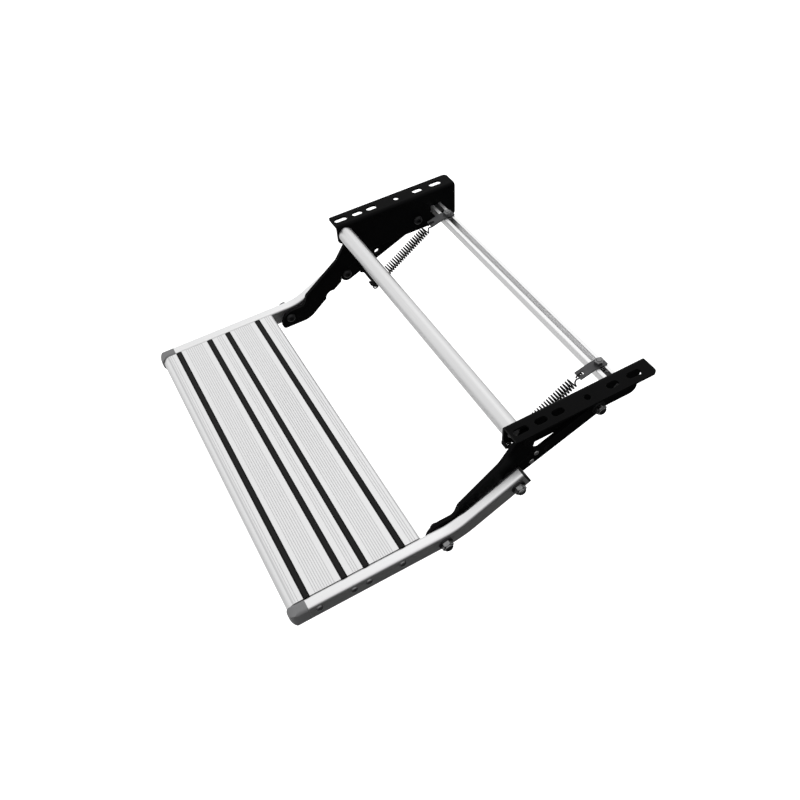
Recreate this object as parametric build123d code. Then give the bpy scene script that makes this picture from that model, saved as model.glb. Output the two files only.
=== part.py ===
from build123d import *
from math import atan2, cos, degrees, hypot, radians, sin, tan
import os

# Folding entry step for a caravan door, in millimetres, shown folded out.
# X runs across the step, -Y points outwards and +Z up. The origin lies midway between the two
# round locating holes, on the top of the flanges that bolt up under the floor.
# A setback is measured from the brackets' front edge, a drop from the flanges' top.

# Tread plank between the side rails
TREAD_LENGTH = 440.0
TREAD_DEPTH = 171.0
TREAD_THICKNESS = 24.0
TREAD_WALL = 2.0
TREAD_LEAD = 25.0            # tread's rear edge ahead of its pivot
TREAD_SINK = 0.6             # tread's top below the rails' top
NOSE_RADIUS = 11.4
TREAD_REAR_RADIUS = 4.0
RIB_PITCH = 3.0
RIB_GROOVE_WIDTH = 1.3
RIB_GROOVE_DEPTH = 0.4

# Rubber grip strips, held in undercut grooves
STRIP_WIDTH = 7.7
STRIP_INNER_OFFSET = 14.0
STRIP_OUTER_OFFSET = 61.0
STRIP_PROUD = 0.9
STRIP_NECK = 1.6
STRIP_FOOT_DEPTH = 2.0
STRIP_FOOT_LIP = 1.4
STRIP_BAND = 5.5             # plain band beside each strip
STRIP_CLEARANCE = 0.1

# Side rails, square tube with a kicked-up tail
RAIL_WIDTH = 15.0
RAIL_HEIGHT = 26.0
RAIL_WALL = 2.0
RAIL_CORNER = 4.0
RAIL_KICK = 26.5             # degrees
RAIL_BEND_RADIUS = 80.0
RAIL_TAIL = 13.5             # tube beyond the link pivot
RAIL_NOSE_GAP = 20.5         # rail's front end behind the tread's nose
CAP_REACH = 2.0              # cap ahead of the tread's nose
CAP_PLAN_RADIUS = 10.0
PLUG_PLATE = 2.5
SPIGOT_CLEARANCE = 0.15

# Screws through the rails into ports in the plank
SCREW_RADIUS = 2.1
SCREW_HEAD_RADIUS = 4.0
SCREW_HEAD_HEIGHT = 2.2
SCREW_BITE = 22.0
SCREW_DROP = 7.5             # below the tread's top
SCREW_INNER_OFFSET = 9.5
SCREW_OUTER_OFFSET = 53.0
SCREW_CLEARANCE = 0.3
PORT_RADIUS = 4.3
PORT_CLEARANCE = 0.05

# Brackets, folded sheet
BRACKET_LENGTH = 195.0
BRACKET_SHEET = 3.0
FLANGE_WIDTH = 27.5
FOLD_RADIUS = 5.0
WEB_HEIGHT = 58.0
WEB_FRONT_HEIGHT = 26.0
WEB_CHAMFER_RUN = 42.0
WEB_REAR_RADIUS = 9.0
FLANGE_REAR_RADIUS = 6.0
FLANGE_FRONT_RADIUS = 2.5
FLANGE_HOLE_INSET = 12.0     # row of holes, from the flange's outer edge
LOCATING_SETBACK = 103.5
LOCATING_RADIUS = 4.25
LONG_SLOT_LENGTH = 20.0
LONG_SLOT_WIDTH = 9.0
LONG_SLOT_FRONT_SETBACK = 13.5
LONG_SLOT_REAR_MARGIN = 25.5  # from the brackets' rear edge
SHORT_SLOT_LENGTH = 16.5
SHORT_SLOT_WIDTH = 9.0
SHORT_SLOT_FIRST_SETBACK = 40.0
SHORT_SLOT_SECOND_SETBACK = 63.0
SHORT_SLOT_THIRD_SETBACK = 139.0

# Pivots of the four-bar folding linkage
FRONT_PIVOT_SETBACK = 29.0
FRONT_PIVOT_DROP = 33.0
REAR_PIVOT_SETBACK = 130.0
REAR_PIVOT_DROP = 40.2
TREAD_PIVOT_REACH = 92.0     # ahead of the brackets
TREAD_PIVOT_DROP = 130.0
LINK_PIVOT_SETBACK = 7.7
LINK_PIVOT_DROP = 90.2
STOW_ANGLE = 115.0           # degrees of the front arm, where it nests on the rear pivot's eye

# Arms
ARM_PLATE = 5.0
WEB_GAP = 1.5                # between web and arm
RAIL_GAP = 3.5               # between arm and rail
EYE_RADIUS = 13.5
REAR_ARM_HALF_WIDTH = 10.5
REAR_ARM_SAG = 2.4           # bar's middle below the line of its pivots
SPARE_HOLE_ALONG = 76.0      # hole in the bar, from the rear pivot
SPARE_HOLE_RADIUS = 4.4
SEAT_CLEARANCE = 0.6         # front arm clear of the rear arm
LINK_CLEARANCE = 1.2         # front arm clear of the rear arm's lower eye as it swings out
FRONT_EDGE_LEAN = 30.0       # degrees from upright, below the front arm's eye
REAR_EDGE_LEAN = 10.7
KNEE_AHEAD = 35.0            # bend in the front edge, from the front pivot
KNEE_BELOW = 27.0
SHOULDER_BEHIND = 30.5       # step in the front edge over the toe, from the tread pivot
SHOULDER_ABOVE = 28.2
ANKLE_BEHIND = 24.5
TOE_AHEAD = 14.3
TOE_ABOVE = 11.8
TOE_BELOW = 16.5
TOE_TOP_RADIUS = 21.0
TOE_BOTTOM_RADIUS = 6.0
HEEL_BEHIND = 30.3
CALF_BEHIND = 54.0
CALF_ABOVE = 3.0
BUMP_AHEAD = 11.5            # lip below the link pivot
BUMP_BELOW = 11.0

# Pivot bolts, washers and nuts
BOLT_RADIUS = 4.0
BOLT_CLEARANCE = 0.2
RUNNING_CLEARANCE = 0.06
FACE_CLEARANCE = 0.1
HEAD_RADIUS = 7.0
HEAD_HEIGHT = 4.4
WASHER_RADIUS = 9.0
WASHER_THICKNESS = 1.5
SPACER_RADIUS = 7.5
NUT_FLATS = 13.0
NUT_HEIGHT = 6.2
NUT_COLLAR_RADIUS = 5.4
NUT_COLLAR_HEIGHT = 1.6
THIN_NUT_HEIGHT = 4.0        # on the front pivots, below the flanges
THREAD_STANDOUT = 1.0

# Front cross tube and its end bolts
TUBE_RADIUS = 11.0
TUBE_WALL = 1.6
TUBE_SETBACK = 12.0
TUBE_DROP = 15.0
TUBE_INSERT_LENGTH = 22.0
TUBE_END_CLEARANCE = 0.2
TUBE_BOLT_BITE = 18.0

# Rear cross channel, open upwards, with its end screws
CHANNEL_SETBACK = 152.5
CHANNEL_DROP = 23.5
CHANNEL_WIDTH = 17.5
CHANNEL_HEIGHT = 11.5
CHANNEL_WALL = 1.8
CHANNEL_LIP = 5.0
CHANNEL_CORNER = 1.2
END_BLOCK_LENGTH = 18.0
END_BLOCK_CLEARANCE = 0.15
END_SCREW_RADIUS = 3.0
END_SCREW_HEAD_RADIUS = 5.6
END_SCREW_BITE = 14.0

# Springs, with the clips and tabs that they hook into
SPRING_INSET = 33.0          # from the webs' inner faces
SPRING_RADIUS = 6.4          # coil, to the middle of the wire
SPRING_WIRE = 0.85
SPRING_TURNS = 18.5
SPRING_FACETS = 8            # straight lengths to a turn
CLIP_HOOK_LENGTH = 17.0      # coil's end to the hole's middle
TAB_HOOK_LENGTH = 11.0
HOOK_REACH = 4.5
HOOK_CLEARANCE = 0.15        # wire to the hole's edge it pulls on
CLIP_WIDTH = 13.0
CLIP_SHEET = 2.0
CLIP_REACH = 22.0            # ahead of the channel
CLIP_SLOPE = 15.0            # degrees
CLIP_BEND = 4.0
HOOK_HOLE_RADIUS = 2.4
HOOK_HOLE_EDGE = 6.0
CLIP_BOLT_RADIUS = 3.0
CLIP_NUT_FLATS = 10.0
CLIP_NUT_HEIGHT = 4.8
CLIP_BOLT_HEAD = 3.0
TAB_SHEET = 2.5
TAB_WIDTH = 13.0
TAB_RELIEF = 6.0             # cut from the leg's front edge, up to the hook's eye
TAB_END_RADIUS = 5.0
TAB_BEND = 3.5
TAB_RISE = 30.5              # foot along the rear arm, above the bend
TAB_ALONG = 109.8            # bend, along the rear arm from its upper pivot
TAB_BELOW = 14.9             # bend, below the rear arm's middle
TAB_LEAN = 43.0              # degrees between the foot and the rear arm
RIVET_RADIUS = 2.4
RIVET_HEAD_RADIUS = 3.6
RIVET_HEAD_HEIGHT = 1.5
RIVET_FIRST = 12.5           # from the bend
RIVET_SECOND = 26.0

# Places worked out from the sizes above
rail_inner = TREAD_LENGTH / 2
rail_outer = rail_inner + RAIL_WIDTH
arm_outer = rail_inner - RAIL_GAP
arm_inner = arm_outer - ARM_PLATE
web_outer = arm_inner - WEB_GAP
web_inner = web_outer - BRACKET_SHEET
flange_outer = web_inner + FLANGE_WIDTH
hole_row = flange_outer - FLANGE_HOLE_INSET
spring_side = web_inner - SPRING_INSET


def place(setback, drop):
    return (setback - LOCATING_SETBACK, -drop)


front_pivot = place(FRONT_PIVOT_SETBACK, FRONT_PIVOT_DROP)
rear_pivot = place(REAR_PIVOT_SETBACK, REAR_PIVOT_DROP)
tread_pivot = place(-TREAD_PIVOT_REACH, TREAD_PIVOT_DROP)
link_pivot = place(LINK_PIVOT_SETBACK, LINK_PIVOT_DROP)
rail_top = tread_pivot[1] + RAIL_HEIGHT / 2
tread_top = rail_top - TREAD_SINK
tread_bottom = tread_top - TREAD_THICKNESS
tread_rear = tread_pivot[0] - TREAD_LEAD
tread_front = tread_rear - TREAD_DEPTH
tread_middle = (tread_front + tread_rear) / 2


def shifted(point, ahead, above):
    """The point moved towards -Y and up."""
    return (point[0] - ahead, point[1] + above)


def towards(point, angle, distance):
    """The point moved along a direction in the side view, in degrees from +Y towards +Z."""
    return (point[0] + distance * cos(radians(angle)), point[1] + distance * sin(radians(angle)))


def outline(*corners):
    """A closed face from corners (u, v, radius), each rounded by its radius."""
    edges = []
    joints = []
    for i, (u, v, radius) in enumerate(corners):
        before = Vector(*corners[i - 1][:2]) - Vector(u, v)
        after = Vector(*corners[(i + 1) % len(corners)][:2]) - Vector(u, v)
        a = before.normalized()
        b = after.normalized()
        half = radians(before.get_angle(after)) / 2
        setback = radius / tan(half) if radius else 0
        middle = (a + b).normalized() * (radius / sin(half) - radius) if radius else Vector()
        corner = Vector(u, v)
        joints.append((corner + a * setback, corner + middle, corner + b * setback, radius))
    for i, (start, middle, end, radius) in enumerate(joints):
        if radius:
            edges.append(ThreePointArc(start, middle, end))
        edges.append(Line(end, joints[(i + 1) % len(joints)][0]))
    return make_face(edges)


def prism(face, x0, x1):
    """A face drawn in the side view (Y, Z), extruded between two places across the step."""
    return extrude(Plane.YZ.offset(x0) * face, amount=x1 - x0)


def disc(centre, radius, x0, x1):
    return prism(Pos(*centre) * Circle(radius), x0, x1)


def ring(centre, outer, inner, x0, x1):
    return prism(Pos(*centre) * Circle(outer) - Pos(*centre) * Circle(inner), x0, x1)


def hexagon(flats):
    return RegularPolygon(flats / 2, 6, major_radius=False)


def low_bolt(centre, head_x, face_x, end_x):
    """A bolt across the step, its low head from head_x to face_x and its shank on to end_x."""
    head = disc(centre, HEAD_RADIUS, head_x, face_x)
    head = chamfer(head.edges().sort_by(Axis.X)[0], HEAD_HEIGHT / 2)
    return head + disc(centre, BOLT_RADIUS, face_x, end_x)


def lock_nut(centre, x0):
    """A nut with a round locking collar, seated at x0 and pointing outwards."""
    shoulder = x0 + NUT_HEIGHT
    body = prism(Pos(*centre) * hexagon(NUT_FLATS), x0, shoulder)
    body += disc(centre, NUT_COLLAR_RADIUS, shoulder, shoulder + NUT_COLLAR_HEIGHT)
    bore = disc(centre, BOLT_RADIUS + RUNNING_CLEARANCE, x0, shoulder + NUT_COLLAR_HEIGHT)
    return body - bore


def nut_end(x0):
    """Where a bolt ends that carries a lock nut seated at x0."""
    return x0 + NUT_HEIGHT + NUT_COLLAR_HEIGHT + THREAD_STANDOUT


def bent_strip(x, width, sheet, bend, *points):
    """A sheet strip whose middle plane follows points in the side view."""
    path = Plane.YZ.offset(x) * FilletPolyline(*points, radius=bend)
    section = Plane(origin=path @ 0, x_dir=(1, 0, 0), z_dir=path % 0) * Rectangle(width, sheet)
    return sweep(section, path=path)


def write(node, shape):
    export_step(shape, f"parts/{node}.step")


def write_sides(node, shape):
    """The piece on the +X side as modelled, and its mirror image on the other side."""
    write(f"{node}_right", shape)
    write(f"{node}_left", mirror(shape, about=Plane.YZ))


def write_pair(node, *shapes):
    """Small pieces on both sides, as one node."""
    solids = [solid for shape in shapes for solid in shape.solids()]
    solids += [mirror(solid, about=Plane.YZ) for solid in solids]
    write(node, Compound(children=solids))


os.makedirs("parts", exist_ok=True)

# Brackets: a web with a cut-back nose and a flange turned outwards, slotted for the floor bolts.
front_y, top_z = place(0, 0)
rear_y = front_y + BRACKET_LENGTH
sheet_section = outline(
    (web_inner, -WEB_HEIGHT, 0),
    (web_inner, top_z, FOLD_RADIUS),
    (flange_outer, top_z, 0),
    (flange_outer, -BRACKET_SHEET, 0),
    (web_outer, -BRACKET_SHEET, FOLD_RADIUS - BRACKET_SHEET),
    (web_outer, -WEB_HEIGHT, 0),
)
side_view = outline(
    (front_y, top_z, 0),
    (front_y, -WEB_FRONT_HEIGHT, FOLD_RADIUS),
    (front_y + WEB_CHAMFER_RUN, -WEB_HEIGHT, FOLD_RADIUS),
    (rear_y, -WEB_HEIGHT, WEB_REAR_RADIUS),
    (rear_y, top_z, 0),
)
bracket = extrude(Plane.XZ.offset(-front_y) * sheet_section, amount=-BRACKET_LENGTH)
bracket &= prism(side_view, web_inner, flange_outer)
outer_edges = bracket.edges().filter_by(Axis.Z).group_by(Axis.X)[-1].sort_by(Axis.Y)
bracket = fillet(outer_edges[-1], FLANGE_REAR_RADIUS)
outer_edges = bracket.edges().filter_by(Axis.Z).group_by(Axis.X)[-1].sort_by(Axis.Y)
bracket = fillet(outer_edges[0], FLANGE_FRONT_RADIUS)
flange_cuts = Pos(hole_row, 0) * Circle(LOCATING_RADIUS)
for setback in (LONG_SLOT_FRONT_SETBACK, BRACKET_LENGTH - LONG_SLOT_REAR_MARGIN):
    slot = SlotOverall(LONG_SLOT_LENGTH, LONG_SLOT_WIDTH, rotation=90)
    flange_cuts += Pos(hole_row, place(setback, 0)[0]) * slot
for setback in (SHORT_SLOT_FIRST_SETBACK, SHORT_SLOT_SECOND_SETBACK, SHORT_SLOT_THIRD_SETBACK):
    slot = SlotOverall(SHORT_SLOT_LENGTH, SHORT_SLOT_WIDTH, rotation=90)
    flange_cuts += Pos(hole_row, place(setback, 0)[0]) * slot
bracket -= extrude(flange_cuts, amount=-BRACKET_SHEET)
for pivot in (front_pivot, rear_pivot):
    bracket -= disc(pivot, BOLT_RADIUS + BOLT_CLEARANCE, web_inner, web_outer)
tube_axis = place(TUBE_SETBACK, TUBE_DROP)
bracket -= disc(tube_axis, BOLT_RADIUS + BOLT_CLEARANCE, web_inner, web_outer)
channel_middle = place(CHANNEL_SETBACK + CHANNEL_WIDTH / 2, CHANNEL_DROP + CHANNEL_HEIGHT / 2)
end_screw_axis = Location(Plane((web_inner, *channel_middle), x_dir=(0, 1, 0), z_dir=(1, 0, 0)))
from_base = (Align.CENTER, Align.CENTER, Align.MIN)
countersink = Cone(END_SCREW_RADIUS, END_SCREW_HEAD_RADIUS, BRACKET_SHEET, align=from_base)
bracket -= end_screw_axis * countersink
write_sides("bracket", bracket)

# Front cross tube: round tube between the webs, with threaded inserts and a bolt at each end.
tube_end = web_inner - TUBE_END_CLEARANCE
write("front_tube", ring(tube_axis, TUBE_RADIUS, TUBE_RADIUS - TUBE_WALL, -tube_end, tube_end))
insert_radius = TUBE_RADIUS - TUBE_WALL - RUNNING_CLEARANCE
insert_bore = BOLT_RADIUS + RUNNING_CLEARANCE
insert = ring(tube_axis, insert_radius, insert_bore, tube_end - TUBE_INSERT_LENGTH, tube_end)
write_pair("tube_inserts", insert)
tube_bolt = prism(Pos(*tube_axis) * hexagon(NUT_FLATS), web_outer, web_outer + HEAD_HEIGHT)
tube_bolt += disc(tube_axis, BOLT_RADIUS, web_inner - TUBE_BOLT_BITE, web_outer)
write_pair("tube_bolts", tube_bolt)

# Rear cross channel: lipped channel, open upwards, with a block and a countersunk screw at each end.
channel_section = RectangleRounded(CHANNEL_WIDTH, CHANNEL_HEIGHT, CHANNEL_CORNER)
channel_hollow = Rectangle(CHANNEL_WIDTH - 2 * CHANNEL_WALL, CHANNEL_HEIGHT - 2 * CHANNEL_WALL)
channel_slot = Pos(0, CHANNEL_HEIGHT / 2) * Rectangle(CHANNEL_WIDTH - 2 * CHANNEL_LIP, CHANNEL_HEIGHT)
channel_section = Pos(*channel_middle) * (channel_section - channel_hollow - channel_slot)
write("rear_channel", prism(channel_section, -tube_end, tube_end))
block_width = CHANNEL_WIDTH - 2 * CHANNEL_WALL - 2 * END_BLOCK_CLEARANCE
block_height = CHANNEL_HEIGHT - 2 * CHANNEL_WALL - 2 * END_BLOCK_CLEARANCE
block_face = Pos(*channel_middle) * Rectangle(block_width, block_height)
end_block = prism(block_face, tube_end - END_BLOCK_LENGTH, tube_end)
end_block -= disc(channel_middle, END_SCREW_RADIUS + RUNNING_CLEARANCE, tube_end - END_BLOCK_LENGTH, tube_end)
write_pair("channel_end_blocks", end_block)
end_screw = end_screw_axis * countersink
end_screw += disc(channel_middle, END_SCREW_RADIUS, web_inner - END_SCREW_BITE, web_inner)
write_pair("channel_screws", end_screw)

# Spring clips: a strip bolted over the channel's lips, sloping forward to a hole for the spring.
channel_front, channel_top = place(CHANNEL_SETBACK, CHANNEL_DROP)
clip_plane = channel_top + CLIP_SHEET / 2
clip_bend = (channel_front, clip_plane)
clip_tip = towards(clip_bend, 180 + CLIP_SLOPE, CLIP_REACH)
clip_hole = towards(clip_bend, 180 + CLIP_SLOPE, CLIP_REACH - HOOK_HOLE_EDGE)
clip_heel = (channel_front + CHANNEL_WIDTH, clip_plane)
clip = bent_strip(spring_side, CLIP_WIDTH, CLIP_SHEET, CLIP_BEND, clip_heel, clip_bend, clip_tip)
clip_normal = towards((0, 0), 90 + CLIP_SLOPE, 1)
hole_plane = Plane((spring_side, *clip_hole), x_dir=(1, 0, 0), z_dir=(0, *clip_normal))
clip -= extrude(hole_plane * Circle(HOOK_HOLE_RADIUS), amount=CLIP_SHEET, both=True)
clip_bolt_y = channel_front + CHANNEL_WIDTH / 2
clip_top = channel_top + CLIP_SHEET
upright = Plane((spring_side, clip_bolt_y, 0))
clip -= extrude(upright.offset(channel_top) * Circle(CLIP_BOLT_RADIUS + BOLT_CLEARANCE), amount=CLIP_SHEET)
write_sides("spring_clip", clip)
lip_under = channel_top - CHANNEL_WALL
clip_bolt = extrude(upright.offset(lip_under) * Rectangle(CLIP_WIDTH, block_width), amount=-CLIP_BOLT_HEAD)
clip_bolt_end = clip_top + CLIP_NUT_HEIGHT + THREAD_STANDOUT
clip_bolt += extrude(upright.offset(lip_under) * Circle(CLIP_BOLT_RADIUS), amount=clip_bolt_end - lip_under)
write_pair("clip_bolts", clip_bolt)
clip_nut = hexagon(CLIP_NUT_FLATS) - Circle(CLIP_BOLT_RADIUS + RUNNING_CLEARANCE)
write_pair("clip_nuts", extrude(upright.offset(clip_top) * clip_nut, amount=CLIP_NUT_HEIGHT))

# Pivot bolts through the webs: head inside, a washer on each side of the arm, a nut outside.
nut_seat = arm_outer + FACE_CLEARANCE + WASHER_THICKNESS
bore = BOLT_RADIUS + RUNNING_CLEARANCE
thin_face = Pos(*front_pivot) * (hexagon(NUT_FLATS) - Circle(bore))
thin_nut = prism(thin_face, nut_seat, nut_seat + THIN_NUT_HEIGHT)
thin_nut_end = nut_seat + THIN_NUT_HEIGHT + THREAD_STANDOUT
for name, pivot, nut, bolt_end in (
    ("front", front_pivot, thin_nut, thin_nut_end),
    ("rear", rear_pivot, lock_nut(rear_pivot, nut_seat), nut_end(nut_seat)),
):
    write_pair(f"{name}_pivot_bolts", low_bolt(pivot, web_inner - HEAD_HEIGHT, web_inner, bolt_end))
    inner_washer = ring(pivot, WASHER_RADIUS, bore, web_outer, arm_inner - FACE_CLEARANCE)
    outer_washer = ring(pivot, WASHER_RADIUS, bore, arm_outer + FACE_CLEARANCE, nut_seat)
    write_pair(f"{name}_pivot_washers", inner_washer, outer_washer)
    write_pair(f"{name}_pivot_nuts", nut)

# Rear arms: straight flat bars from the rear pivot down to the link pivot, with a spare hole.
arm_span = Vector(*link_pivot) - Vector(*rear_pivot)
arm_angle = degrees(atan2(arm_span.Y, arm_span.X))
arm_middle = ((link_pivot[0] + rear_pivot[0]) / 2, (link_pivot[1] + rear_pivot[1]) / 2)
bar_middle = towards(arm_middle, arm_angle + 90, REAR_ARM_SAG)


def rear_arm_shape(half_width):
    return Pos(*bar_middle) * SlotCenterToCenter(arm_span.length, 2 * half_width, rotation=arm_angle)


rear_arm = prism(rear_arm_shape(REAR_ARM_HALF_WIDTH), arm_inner, arm_outer)
spare_hole = towards(towards(rear_pivot, arm_angle, SPARE_HOLE_ALONG), arm_angle + 90, REAR_ARM_SAG)
rear_arm -= disc(spare_hole, SPARE_HOLE_RADIUS, arm_inner, arm_outer)
for pivot in (rear_pivot, link_pivot):
    rear_arm -= disc(pivot, BOLT_RADIUS + RUNNING_CLEARANCE, arm_inner, arm_outer)

# Spring tabs: a strip riveted inside each rear arm, turned in below it and cut back to an eye
# for the spring's hook.
tab_bend = towards(towards(rear_pivot, arm_angle, TAB_ALONG), arm_angle + 90, TAB_BELOW)
foot_angle = arm_angle + 180 + TAB_LEAN
foot_x = arm_inner - TAB_SHEET / 2
foot_end = towards(tab_bend, foot_angle, TAB_RISE)
tab_reach = spring_side - HOOK_HOLE_EDGE
tab_path = FilletPolyline((foot_x, *foot_end), (foot_x, *tab_bend), (tab_reach, *tab_bend), radius=TAB_BEND)
across = towards((0, 0), foot_angle + 90, 1)
tab_start = Plane(origin=tab_path @ 0, x_dir=(0, *across), z_dir=tab_path % 0)
tab = sweep(tab_start * Rectangle(TAB_WIDTH, TAB_SHEET), path=tab_path)
foot_direction = towards((0, 0), foot_angle, 1)
eye_plane = Plane((spring_side, *tab_bend), x_dir=(1, 0, 0), z_dir=(0, *foot_direction))
relief_start = HOOK_HOLE_EDGE
relief_end = foot_x - TAB_BEND - spring_side
relief_middle = ((relief_start + relief_end) / 2, (TAB_RELIEF - TAB_WIDTH) / 2)
tab_cuts = Circle(HOOK_HOLE_RADIUS) + Pos(*relief_middle) * Rectangle(relief_end - relief_start, TAB_RELIEF)
along_foot = Axis((0, 0, 0), (0, *foot_direction))
tab = fillet(tab.edges().filter_by(along_foot).group_by(Axis.X)[0], TAB_END_RADIUS)
tab -= extrude(eye_plane * tab_cuts, amount=TAB_SHEET, both=True)
rivets = []
for distance in (RIVET_FIRST, RIVET_SECOND):
    rivet_place = towards(tab_bend, foot_angle, distance)
    hole = disc(rivet_place, RIVET_RADIUS + RUNNING_CLEARANCE, arm_inner - TAB_SHEET, arm_outer)
    tab -= hole
    rear_arm -= hole
    rivet = disc(rivet_place, RIVET_RADIUS, arm_inner - TAB_SHEET, arm_outer)
    for face_x, way in ((arm_inner - TAB_SHEET, -1), (arm_outer, 1)):
        rivet += disc(rivet_place, RIVET_HEAD_RADIUS, face_x, face_x + way * RIVET_HEAD_HEIGHT)
    rivets.append(rivet)
write_sides("rear_arm", rear_arm)
write_sides("spring_tab", tab)
write_pair("tab_rivets", *rivets)

# Springs: an open coil between clip and tab, with a hook through each hole.
spring_line = Vector(*tab_bend) - Vector(*clip_hole)
spring_angle = degrees(atan2(spring_line.Y, spring_line.X))
coil_start = towards(clip_hole, spring_angle, CLIP_HOOK_LENGTH)
coil_length = spring_line.length - CLIP_HOOK_LENGTH - TAB_HOOK_LENGTH
coil_axis = towards((0, 0), spring_angle, 1)
coil_plane = Plane((spring_side, *coil_start), x_dir=(1, 0, 0), z_dir=(0, *coil_axis))
clip_seat = towards(clip_hole, 180 + CLIP_SLOPE, HOOK_HOLE_RADIUS - SPRING_WIRE - HOOK_CLEARANCE)
clip_hook = (
    towards(clip_seat, 90 + CLIP_SLOPE, HOOK_REACH),
    towards(clip_seat, 90 + CLIP_SLOPE, -HOOK_REACH),
    towards(clip_hole, spring_angle, CLIP_HOOK_LENGTH - HOOK_REACH),
)
tab_hook = (
    towards(tab_bend, foot_angle, HOOK_REACH),
    towards(tab_bend, foot_angle, -HOOK_REACH),
    towards(towards(tab_bend, foot_angle, -HOOK_REACH), foot_angle + 90, HOOK_REACH),
)


def spring_wire(points):
    """A four-sided wire run straight from point to point."""
    rings = []
    side = Vector(1, 0, 0)
    for before, point, after in zip(points[:1] + points, points, points[1:] + points[-1:]):
        way = (after - before).normalized()
        side = (side - way * side.dot(way)).normalized()
        up = way.cross(side)
        rings.append([point + reach * SPRING_WIRE for reach in (side, up, -side, -up)])
    faces = [Face(Wire.make_polygon(rings[0])), Face(Wire.make_polygon(rings[-1]))]
    for near, far in zip(rings, rings[1:]):
        for i in range(-1, 3):
            faces.append(Face(Wire.make_polygon((near[i], near[i + 1], far[i + 1]))))
            faces.append(Face(Wire.make_polygon((near[i], far[i + 1], far[i]))))
    return Solid(Shell(faces))


coil = []
for i in range(int(SPRING_TURNS * SPRING_FACETS) + 1):
    turn = i / SPRING_FACETS
    radial = towards((0, 0), 360 * turn, SPRING_RADIUS)
    coil.append(coil_plane.from_local_coords(Vector(*radial, coil_length * turn / SPRING_TURNS)))
clip_end = [Vector(spring_side, *point) for point in clip_hook]
tab_end = [Vector(spring_side, *point) for point in tab_hook]
spring = spring_wire(clip_end + coil + tab_end)
write_sides("spring", spring)

# Front arms: cranked plates from the front pivot to the tread pivot, hollowed to nest over the
# rear arm when folded out and over the rear pivot's eye when folded away.
front_tangent = towards(front_pivot, 180 - FRONT_EDGE_LEAN, EYE_RADIUS)
rear_tangent = towards(front_pivot, -REAR_EDGE_LEAN, EYE_RADIUS)
rear_edge_run = (arm_middle[1] - rear_tangent[1]) / cos(radians(REAR_EDGE_LEAN))
rear_edge_end = towards(rear_tangent, 90 - REAR_EDGE_LEAN, rear_edge_run)
toe_top = tread_pivot[1] + TOE_ABOVE
toe_bottom = tread_pivot[1] - TOE_BELOW
arm_outline = outline(
    (*front_tangent, 0),
    (*shifted(front_pivot, KNEE_AHEAD, -KNEE_BELOW), 20),
    (*shifted(tread_pivot, -SHOULDER_BEHIND, SHOULDER_ABOVE), 6),
    (tread_pivot[0] + ANKLE_BEHIND, toe_top, 8),
    (tread_pivot[0] - TOE_AHEAD, toe_top, TOE_TOP_RADIUS),
    (tread_pivot[0] - TOE_AHEAD, toe_bottom, TOE_BOTTOM_RADIUS),
    (tread_pivot[0] + HEEL_BEHIND, toe_bottom, 30),
    (*shifted(tread_pivot, -CALF_BEHIND, CALF_ABOVE), 0),
    (*shifted(link_pivot, BUMP_AHEAD, -BUMP_BELOW), 2.5),
    (*link_pivot, 0),
    (*rear_edge_end, 0),
    (*rear_tangent, 0),
)
stowed_eye = Pos(*front_pivot) * Rot(0, 0, -STOW_ANGLE) * Pos(*(Vector(*rear_pivot) - Vector(*front_pivot)))
arm_face = arm_outline + Pos(*front_pivot) * Circle(EYE_RADIUS)
arm_face -= rear_arm_shape(REAR_ARM_HALF_WIDTH + SEAT_CLEARANCE)
link_eye = towards(link_pivot, arm_angle + 90, REAR_ARM_SAG)
way_out = 2 * (REAR_ARM_HALF_WIDTH + LINK_CLEARANCE)
arm_face -= Pos(*link_eye) * Circle(way_out / 2)
arm_face -= Pos(*shifted(link_eye, 0, -way_out / 2)) * Rectangle(way_out, way_out)
arm_face -= stowed_eye * Circle(REAR_ARM_HALF_WIDTH + SEAT_CLEARANCE)
front_arm = prism(arm_face, arm_inner, arm_outer)
for pivot in (front_pivot, tread_pivot):
    front_arm -= disc(pivot, BOLT_RADIUS + RUNNING_CLEARANCE, arm_inner, arm_outer)
write_sides("front_arm", front_arm)

# Tread plank: one hollow extrusion with a round nose, webs with screw ports, undercut grooves
# for the grip strips and fine grooves along the whole top.
strip_offsets = (-STRIP_OUTER_OFFSET, -STRIP_INNER_OFFSET, STRIP_INNER_OFFSET, STRIP_OUTER_OFFSET)
strip_places = [tread_middle + offset for offset in strip_offsets]
screw_offsets = (-SCREW_OUTER_OFFSET, -SCREW_INNER_OFFSET, SCREW_INNER_OFFSET, SCREW_OUTER_OFFSET)
screw_places = [tread_middle + offset for offset in screw_offsets]
screw_z = tread_top - SCREW_DROP


def plank_outline(inset):
    front = tread_front + inset
    rear = tread_rear - inset
    top = tread_top - inset
    bottom = tread_bottom + inset
    nose = NOSE_RADIUS - inset
    tail = TREAD_REAR_RADIUS - inset
    return outline((front, top, nose), (front, bottom, nose), (rear, bottom, tail), (rear, top, tail))


def strip_profile(y, gap, proud):
    """The strip's T-shaped section, grown by a gap for the groove that holds it."""
    neck_bottom = tread_top - STRIP_NECK
    foot_bottom = neck_bottom - STRIP_FOOT_DEPTH
    neck_half = STRIP_WIDTH / 2 + gap
    foot_half = STRIP_WIDTH / 2 + STRIP_FOOT_LIP + gap
    neck_height = STRIP_NECK + proud
    neck = Pos(y, neck_bottom + neck_height / 2) * Rectangle(2 * neck_half, neck_height)
    foot_height = STRIP_FOOT_DEPTH + 2 * gap
    foot = Pos(y, foot_bottom - gap + foot_height / 2) * Rectangle(2 * foot_half, foot_height)
    return neck + foot


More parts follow.
